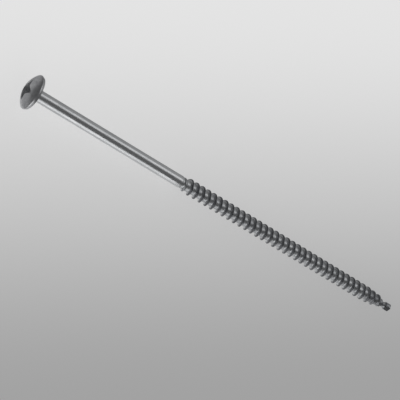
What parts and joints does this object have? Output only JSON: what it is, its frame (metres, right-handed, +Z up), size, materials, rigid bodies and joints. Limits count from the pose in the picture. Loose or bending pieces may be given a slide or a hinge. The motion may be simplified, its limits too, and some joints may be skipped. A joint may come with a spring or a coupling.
{
  "type": "roofing insulation screw",
  "caption": "Long steel screw with a thin domed head, a cross recess, a plain shank, a coarse right-hand thread and a small drill point, lying at rest.",
  "frame": {"origin": "on the surface that the screw lies on, under the middle of its length", "axes": "+X from the head towards the point, leaning 1.4 degrees down with the screw as it lies; +Z up; the screw's own axis is in the plane Y = 0"},
  "size_m": [0.1428, 0.0112, 0.0112],
  "materials": {
    "steel": "bare grey steel with a thin zinc coat, semi-bright on the drawn shank and a little duller on the rolled thread"
  },
  "bodies": {
    "root": {"screw": "steel"}
  },
  "joints": []
}
